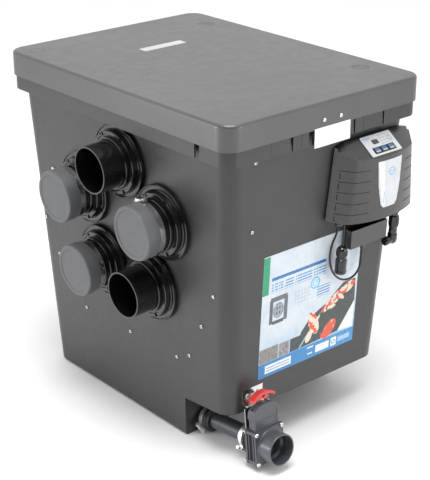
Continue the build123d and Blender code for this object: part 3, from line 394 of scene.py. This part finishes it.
def label_film():
    """A pond scene in plain shapes: sky blue ground, a leafy bank, koi, photo tiles and blank boxes."""
    f = printed("label_film", 0.26)
    f.on_sheet(side_frame(LABEL_Y, LABEL_Z))
    split = f.add("ShaderNodeSeparateXYZ")
    f.feed(split.inputs[0], f.sheet)
    across, up = split.outputs[0], split.outputs[1]
    wash = f.noise(0.016, 4, 0.55, place=f.sheet)
    ripple = f.noise(0.11, 5, 0.7, place=f.sheet)
    leaf = f.noise(0.16, 6, 0.75, place=f.sheet)
    patch = f.reckon("GREATER_THAN", f.noise(0.06, 2, 0.5, place=f.sheet), 0.52)
    blot = f.reckon("GREATER_THAN", f.noise(0.10, 2, 0.5, place=f.sheet), 0.64)

    white, pale = tone(214, 220, 226), tone(194, 206, 218)
    blue, deep = tone(50, 136, 196), tone(46, 112, 172)
    ground = f.mix(f.remap(wash, 0.3, 0.7), white, pale)
    depth = f.remap(up, -45, -112, 0, 0.8)
    low = f.reckon("MULTIPLY", depth, f.remap(ripple, 0.25, 0.75, 0.5, 1.0), clamp=True)
    ground = f.mix(low, ground, tone(112, 170, 212))

    orange, cream = tone(222, 80, 48), tone(226, 212, 194)
    koi_skin = f.mix(patch, cream, orange)
    koi_dark = f.mix(blot, koi_skin, tone(52, 48, 50))
    green = f.mix(f.remap(leaf, 0.35, 0.68), tone(30, 38, 38), tone(62, 78, 70))
    water = f.mix(f.remap(ripple, 0.35, 0.65), tone(26, 36, 38), tone(60, 78, 78))
    tile_a = f.mix(f.remap(leaf, 0.35, 0.65), tone(84, 104, 120), tone(158, 146, 122))
    tile_b = f.mix(f.remap(ripple, 0.35, 0.65), tone(104, 96, 112), tone(168, 160, 158))
    ruled = f.stripes(1, 7, 0.42)
    along_lines = f.vector("MULTIPLY", f.sheet, (1, 0.02, 0))
    dashed = f.reckon("GREATER_THAN", f.noise(0.22, 1, 0.5, place=along_lines), 0.42)
    band = f.mix(f.remap(across, -153, 153), tone(34, 120, 182), tone(52, 142, 200))
    grille = f.reckon("MULTIPLY", f.stripes(0, 9, 0.5), f.stripes(1, 12, 0.6))
    layers = [
        (f.oblong(-153, 58, -134, 151), tone(20, 150, 106)),
        (f.oblong(-126, 88, 42, 96), deep),
        (f.both(f.oblong(-125, 58, 50, 84), ruled, dashed), blue),
        (f.oblong(-126, 34, -75, 46), tone(96, 102, 110)),
        (f.oblong(-128, -20, -118, 40), tone(84, 90, 98)),
        (f.oblong(-84, -20, -73, 40), tone(92, 98, 106)),
        (f.oblong(-118, -23, -84, -14), tone(72, 78, 86)),
        (f.oval(-101, 10, 17, 20), tone(150, 156, 164)),
        (f.both(f.oval(-101, 10, 14, 17), grille), tone(88, 94, 102)),
        (f.hoop(12, 43, 15, 3.2), tone(72, 178, 212)),
        (f.hoop(12, 43, 8.5, 2.6), tone(112, 200, 222)),
        (f.both(f.oblong(19, 2, 60, 30), ruled), blue),
        (f.both(f.oblong(-50, 4, 0, 44), f.stripes(0, 10, 0.12)), tone(160, 176, 190)),
        (f.both(f.oblong(-50, 4, 0, 44), f.stripes(1, 9, 0.12)), tone(160, 176, 190)),
        (f.corners((-25, -115), (98, -110), (149, -44), (146, 15), (107, 16), (53, -22)), green),
        (f.corners((-28, -112), (53, -22), (15, -38), (-2, -50), (-23, -72), (-28, -85)), green),
        (f.corners((-25, -115), (98, -110), (70, -60), (20, -70)), water),
        (f.oval(15, -62, 15, 33, 0.4), koi_skin),
        (f.oval(2, -94, 9, 15, -0.5), cream),
        (f.oval(27, -56, 11, 4, 0.9), tone(224, 206, 190)),
        (f.oval(68, -94, 27, 16, 0.8), f.mix(blot, orange, cream)),
        (f.oval(52, -104, 12, 8, 0.3), orange),
        (f.oval(80, -20, 46, 12.5, 0.5), koi_dark),
        (f.oval(124, -1, 22, 12, 0.4), koi_skin),
        (f.oval(102, -20, 12, 5, -0.7), cream),
        (f.oval(75, -38, 10, 4, 0.2), cream),
        (f.corners((149, -44), (98, -110), (148, -115)), tone(228, 232, 234)),
        (f.oblong(-152, -115, -95, -78), tile_a),
        (f.oblong(-92, -115, -60, -80), tile_b),
        (f.oblong(-57, -115, -27, -80), water),
        (f.reckon("LESS_THAN", up, -116), band),
        (f.oblong(-132, -145, -51, -124), tone(226, 232, 236)),
        (f.both(f.oblong(-128, -142, -56, -127), ruled), tone(150, 168, 186)),
        (f.oblong(28, -145, 72, -126), tone(226, 232, 236)),
        (f.oblong(78, -146, 96, -124), tone(230, 234, 236)),
        (f.hoop(87, -135, 6, 2), tone(90, 120, 150)),
        (f.both(f.oblong(100, -140, 141, -127), f.stripes(1, 4.4, 0.5)), tone(222, 230, 238)),
        (f.oblong(2, -142, 18, -138), tone(214, 226, 238)),
        (f.oblong(0, -126, 20, -122), tone(214, 226, 238)),
    ]
    paint(f, ground, layers)
    return f


def control_panel():
    """Brushed panel foil with a black key strip, thin diagram lines and a dark display frame."""
    f = printed("control_panel", 0.34, 0.1)
    f.on_sheet(panel_sheet())
    brushed = f.noise(0.5, 3, 0.6, place=f.vector("MULTIPLY", f.sheet, (0.08, 5, 1)))
    base = f.mix(f.remap(brushed, 0.3, 0.7), tone(172, 175, 178), tone(196, 199, 201))
    line = tone(112, 118, 124)
    layers = [
        (f.both(f.oblong(2, -1, 40, 22), f.stripes(0, 9.5, 0.08, 2)), line),
        (f.both(f.oblong(2, -1, 40, 22), f.stripes(1, 7.5, 0.09, 1)), line),
        (f.oblong(-42, 17, -8, 18), line),
        (f.oblong(-42, 20.5, -20, 22.5), tone(74, 128, 176)),
        (f.hoop(34, 8, 6, 1), line),
        (f.oblong(-34, -22.5, 34, -5.5), tone(20, 20, 21)),
        (f.oblong(-21.5, 2.5, -2.5, 14.5), tone(30, 30, 32)),
    ]
    paint(f, base, layers)
    return f


def front_badge():
    f = printed("front_badge", 0.22, 0.5)
    f.on_sheet(side_frame(CTRL_Y, CTRL_Z))
    split = f.add("ShaderNodeSeparateXYZ")
    f.feed(split.inputs[0], f.sheet)
    sheen = f.noise(0.02, 3, 0.5, place=f.sheet)
    base = f.mix(f.remap(sheen, 0.3, 0.7), tone(196, 199, 203), tone(210, 212, 215))
    layers = [
        (f.corners((-35, 48), (-20, -57), (-13, -57), (-20, 48)), tone(236, 238, 240)),
        (f.hoop(6, 22, 10, 2.6), tone(132, 178, 212)),
        (f.oblong(-9, 20.6, 21, 23.4), tone(150, 190, 218)),
        (f.oblong(-17.5, -50, -15.5, -22), tone(82, 148, 204)),
    ]
    paint(f, base, layers)
    f.set(metal=0.25)
    return f


def button_film():
    """Key caps: a black frame round a blue window, with a pale strip below it."""
    f = glossy("key_blue", tone(18, 18, 20), 0.28, 0.2)
    f.on_sheet(panel_sheet())
    cap = f.shader.inputs["Base Color"].links[0].from_socket
    layers = []
    for a in KEY_PLACES:
        layers.append((f.oblong(a - 7, -13.2, a + 7, -8.6), tone(40, 98, 170)))
        layers.append((f.oblong(a - 7, -19.4, a + 7, -14.6), tone(152, 156, 160)))
    paint(f, cap, layers)
    return f


def lid_badge():
    f = printed("lid_badge", 0.3, 0.4)
    brushed = f.noise(300, 3, 0.6, stretch=(1, 0.05, 1))
    base = f.mix(f.remap(brushed, 0.3, 0.7), tone(172, 174, 176), tone(192, 193, 194))
    f.set(colour=base, metal=0.2)
    return f


def board_green():
    f = moulded("board_green", tone(22, 84, 54), 0.35, 0.6)
    f.bump(f.cells(260), 0.0002)
    return f


def float_foam():
    f = moulded("float_foam", tone(214, 150, 52), 0.7, 1.0)
    f.bump(f.cells(500), 0.0003)
    return f


FINISHES = {
    "tank_plastic": tank_plastic(),
    "lid_plastic": lid_plastic(),
    "black_rubber": rubber("black_rubber"),
    "grey_rubber": moulded("grey_rubber", tone(90, 91, 94), 0.5, 1.2, 0.0001, 1200, 0.07, 0.4),
    "black_gloss": glossy("black_gloss", tone(15, 15, 16), 0.15, 0.35),
    "pvc_grey": moulded("pvc_grey", tone(72, 75, 80), 0.3, 1.0, 0.00004, 1300, 0.08, 0.5, 0.25),
    "red_plastic": glossy("red_plastic", tone(196, 52, 48), 0.18, 0.5),
    "steel": steel("steel"),
    "silver": lid_badge(),
    "label_film": label_film(),
    # the 0.75 gives the controller's edges a strong painted highlight
    "controller_plastic": moulded(
        "controller_plastic", tone(30, 29, 28), 0.28, 1.6, 0.0001, 1500, 0.1, 0.75, 0.3, 0.7),
    "board_green": board_green(),
    "display": glossy("display", tone(14, 16, 17), 0.06, 1.0),
    "cable": moulded("cable", tone(22, 22, 23), 0.4, 0.6, 0.00005, 900, 0.2, 0.2),
    "drum_plastic": moulded("drum_plastic", tone(52, 92, 132), 0.35, 1.2),
    "screen_mesh": screen_mesh(),
    "gear_plastic": moulded("gear_plastic", tone(222, 220, 212), 0.4, 0.8),
    "white_plastic": moulded("white_plastic", tone(226, 226, 222), 0.4, 0.8),
    "float_foam": float_foam(),
    "key_blue": button_film(),
}
SPECIAL = {
    "control_panel": control_panel(),
    "lid_caps": lid_cap_plastic_painted_seam_shade(),
    "drain_pipe": moulded("dark_pipe", tone(62, 65, 71), 0.3, 1.0, 0.00004, 1300, 0.08, 0.5, 0.25),
    "drain_stub": moulded("dark_stub", tone(62, 65, 71), 0.3, 1.0, 0.00004, 1300, 0.08, 0.5, 0.25),
    "front_badge": front_badge(),
    "lid_contact_plate": steel("contact_steel", 0.34, (0.04, 1, 1), (0.86, 0.86, 0.85, 1), 0.08),
    "wall_screws": steel("bright_steel", 0.2, (1, 1, 1), (0.62, 0.58, 0.55, 1), 0.3),
    "cap_clamps": steel("band_steel", 0.2, (1, 0.05, 1), (0.84, 0.83, 0.81, 1), 0.2),
    # painted light: the drain clamps' steel is paler than the other bands, to lift the shade that falls on
    # them
    "drain_clamps": steel("drain_band_steel_painted_light", 0.38, (0.05, 1, 1), (0.95, 0.94, 0.92, 1), 0.1),
    "valve_bracket": steel("mirror_steel", 0.12, (1, 0.05, 1), (0.72, 0.71, 0.70, 1), 0.3),
}

for name, obj in NODES.items():
    finish = SPECIAL.get(name)
    if finish is None:
        slots = [s.material.name.split(".")[0] for s in obj.material_slots if s.material]
        finish = FINISHES.get(slots[0] if slots else "")
    if finish is None:
        raise ValueError(f"no finish for {name}: {[s.name for s in obj.material_slots]}")
    obj.data.materials.clear()
    obj.data.materials.append(finish.material)


# ---------------------------------------------------------------- cords

def controller_point(a, b, c):
    return (side_frame(CTRL_Y, CTRL_Z) @ Vector((a, b, c))) * MM


def cord_curve(name, route, node):
    """A round lead along that route, in the controller's axes, in place of its CAD tube."""
    points = [controller_point(*p) for p in route]
    data = bpy.data.curves.new(name, "CURVE")
    data.dimensions = "3D"
    data.bevel_depth = CORD_R * MM
    data.bevel_resolution = 6
    data.resolution_u = 16
    data.use_fill_caps = True
    line = data.splines.new("NURBS")
    line.points.add(len(points) - 1)
    for target, place in zip(line.points, points):
        target.co = (*place, 1.0)
    line.order_u = 3
    line.use_endpoint_u = True
    data.materials.append(FINISHES["cable"].material)
    obj = bpy.data.objects.new(name, data)
    bpy.context.scene.collection.objects.link(obj)
    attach(obj, "tank")
    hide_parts(node)
    return obj, points[0]


LEAD = [(-88, -84, 24), (-88, -112, 24.4), (-88, -141, 24.2), (-88, -169, 24)]
LOOP = [(-106, -84, 24), (-106, -112, 24), (-124, -140, 24), (-128, -178, 24), (-113, -216, 24),
        (-80, -244, 23), (-40, -250, 21), (-14, -232, 17), (-10, -202, 14), (-10, -172, 14)]

lead, lead_exit = cord_curve("lead", LEAD, "lead_cord")
loop, loop_exit = cord_curve("sensor_loop", LOOP, "loop_cord")


# ---------------------------------------------------------------- floor, light and camera

FLOOR_REACH = 90.0
FLOOR_RINGS = 24
FLOOR_SIDES = 96
FLOOR_DROP = -0.0004
WALL_LIGHT = 1.0
DARK_SIDE = 0.04
DARK_TOWARDS = (0.755, -0.656, -0.12)
VIEW_AZIMUTH = 49.04
VIEW_RISE = 22.15
VIEW_DISTANCE = 3.2566
TANK_MIDDLE = (0.0, 0.0, 0.3902)
VIEW_RIGHT = 0.0148
VIEW_UP = 0.0412


def floor():
    """A round pale floor, so wide that its edge is out of sight, with a little mottling."""
    sides = FLOOR_SIDES
    verts, faces = [], []
    for ring in range(FLOOR_RINGS + 1):
        radius = 0.02 + FLOOR_REACH * (ring / FLOOR_RINGS) ** 3
        for i in range(sides):
            angle = math.tau * i / sides
            verts.append((radius * math.cos(angle), radius * math.sin(angle), FLOOR_DROP))
    for ring in range(FLOOR_RINGS):
        low, high = ring * sides, (ring + 1) * sides
        for i in range(sides):
            j = (i + 1) % sides
            faces.append((low + i, high + i, high + j, low + j))
    faces.append(tuple(reversed(range(sides))))
    data = bpy.data.meshes.new("floor")
    data.from_pydata(verts, [], faces)
    data.validate()
    pale = Finish("floor")
    shade = pale.noise(2.2, 3, 0.5)
    pale.set(colour=pale.mix(shade, tone(244, 244, 244), tone(248, 248, 248)), rough=0.9, specular=0.1)
    data.materials.append(pale.material)
    obj = bpy.data.objects.new("floor", data)
    bpy.context.scene.collection.objects.link(obj)


def soft_light(name, place, aim, size, watts):
    data = bpy.data.lights.new(name, "AREA")
    data.shape = "DISK"
    data.size = size
    data.energy = watts
    obj = bpy.data.objects.new(name, data)
    obj.location = place
    obj.rotation_euler = (Vector(aim) - Vector(place)).to_track_quat("-Z", "Y").to_euler()
    bpy.context.scene.collection.objects.link(obj)


def photo_camera():
    yaw, pitch = math.radians(VIEW_AZIMUTH), math.radians(VIEW_RISE)
    back = Vector((math.sin(yaw) * math.cos(pitch), -math.cos(yaw) * math.cos(pitch), math.sin(pitch)))
    right = Vector((math.cos(yaw), math.sin(yaw), 0))
    up = back.cross(right)
    target = Vector(TANK_MIDDLE) + right * VIEW_RIGHT + up * VIEW_UP
    place = Matrix((right, up, back)).transposed().to_4x4()
    place.translation = target + back * VIEW_DISTANCE
    camera = bpy.data.objects.new("camera", bpy.data.cameras.new("camera"))
    bpy.context.scene.collection.objects.link(camera)
    camera.matrix_world = place
    camera.data.sensor_width = 36
    camera.data.lens = 100.0
    camera.data.shift_y = -0.049
    bpy.context.scene.camera = camera


def studio_world():
    """White walls all round, with a dark opening low down in front of the tank's corner."""
    world = bpy.data.worlds.new("studio")
    world.use_nodes = True
    tree = world.node_tree
    look = tree.nodes.new("ShaderNodeTexCoord").outputs["Generated"]
    towards = tree.nodes.new("ShaderNodeVectorMath")
    towards.operation = "DOT_PRODUCT"
    towards.inputs[1].default_value = DARK_TOWARDS
    tree.links.new(look, towards.inputs[0])
    fade = tree.nodes.new("ShaderNodeMapRange")
    fade.interpolation_type = "SMOOTHSTEP"
    for key, value in (("From Min", 0.5), ("From Max", 0.86), ("To Min", WALL_LIGHT), ("To Max", DARK_SIDE)):
        fade.inputs[key].default_value = value
    tree.links.new(towards.outputs["Value"], fade.inputs["Value"])
    tree.links.new(fade.outputs[0], tree.nodes["Background"].inputs["Strength"])
    tree.nodes["Background"].inputs["Color"].default_value = (1, 1, 1, 1)
    return world


floor()
soft_light("softbox_left", (-1.7, -3.3, 0.5), (0, 0, 0.55), 1.2, 36)
soft_light("softbox_right", (3.2, 1.2, 0.7), (0, 0, 0.6), 1.0, 15)
soft_light("top", (0.9, -0.6, 4.4), (0.4, -0.4, 0.0), 2.6, 150)
bpy.context.scene.world = studio_world()
bpy.context.scene.view_settings.view_transform = "Standard"
photo_camera()
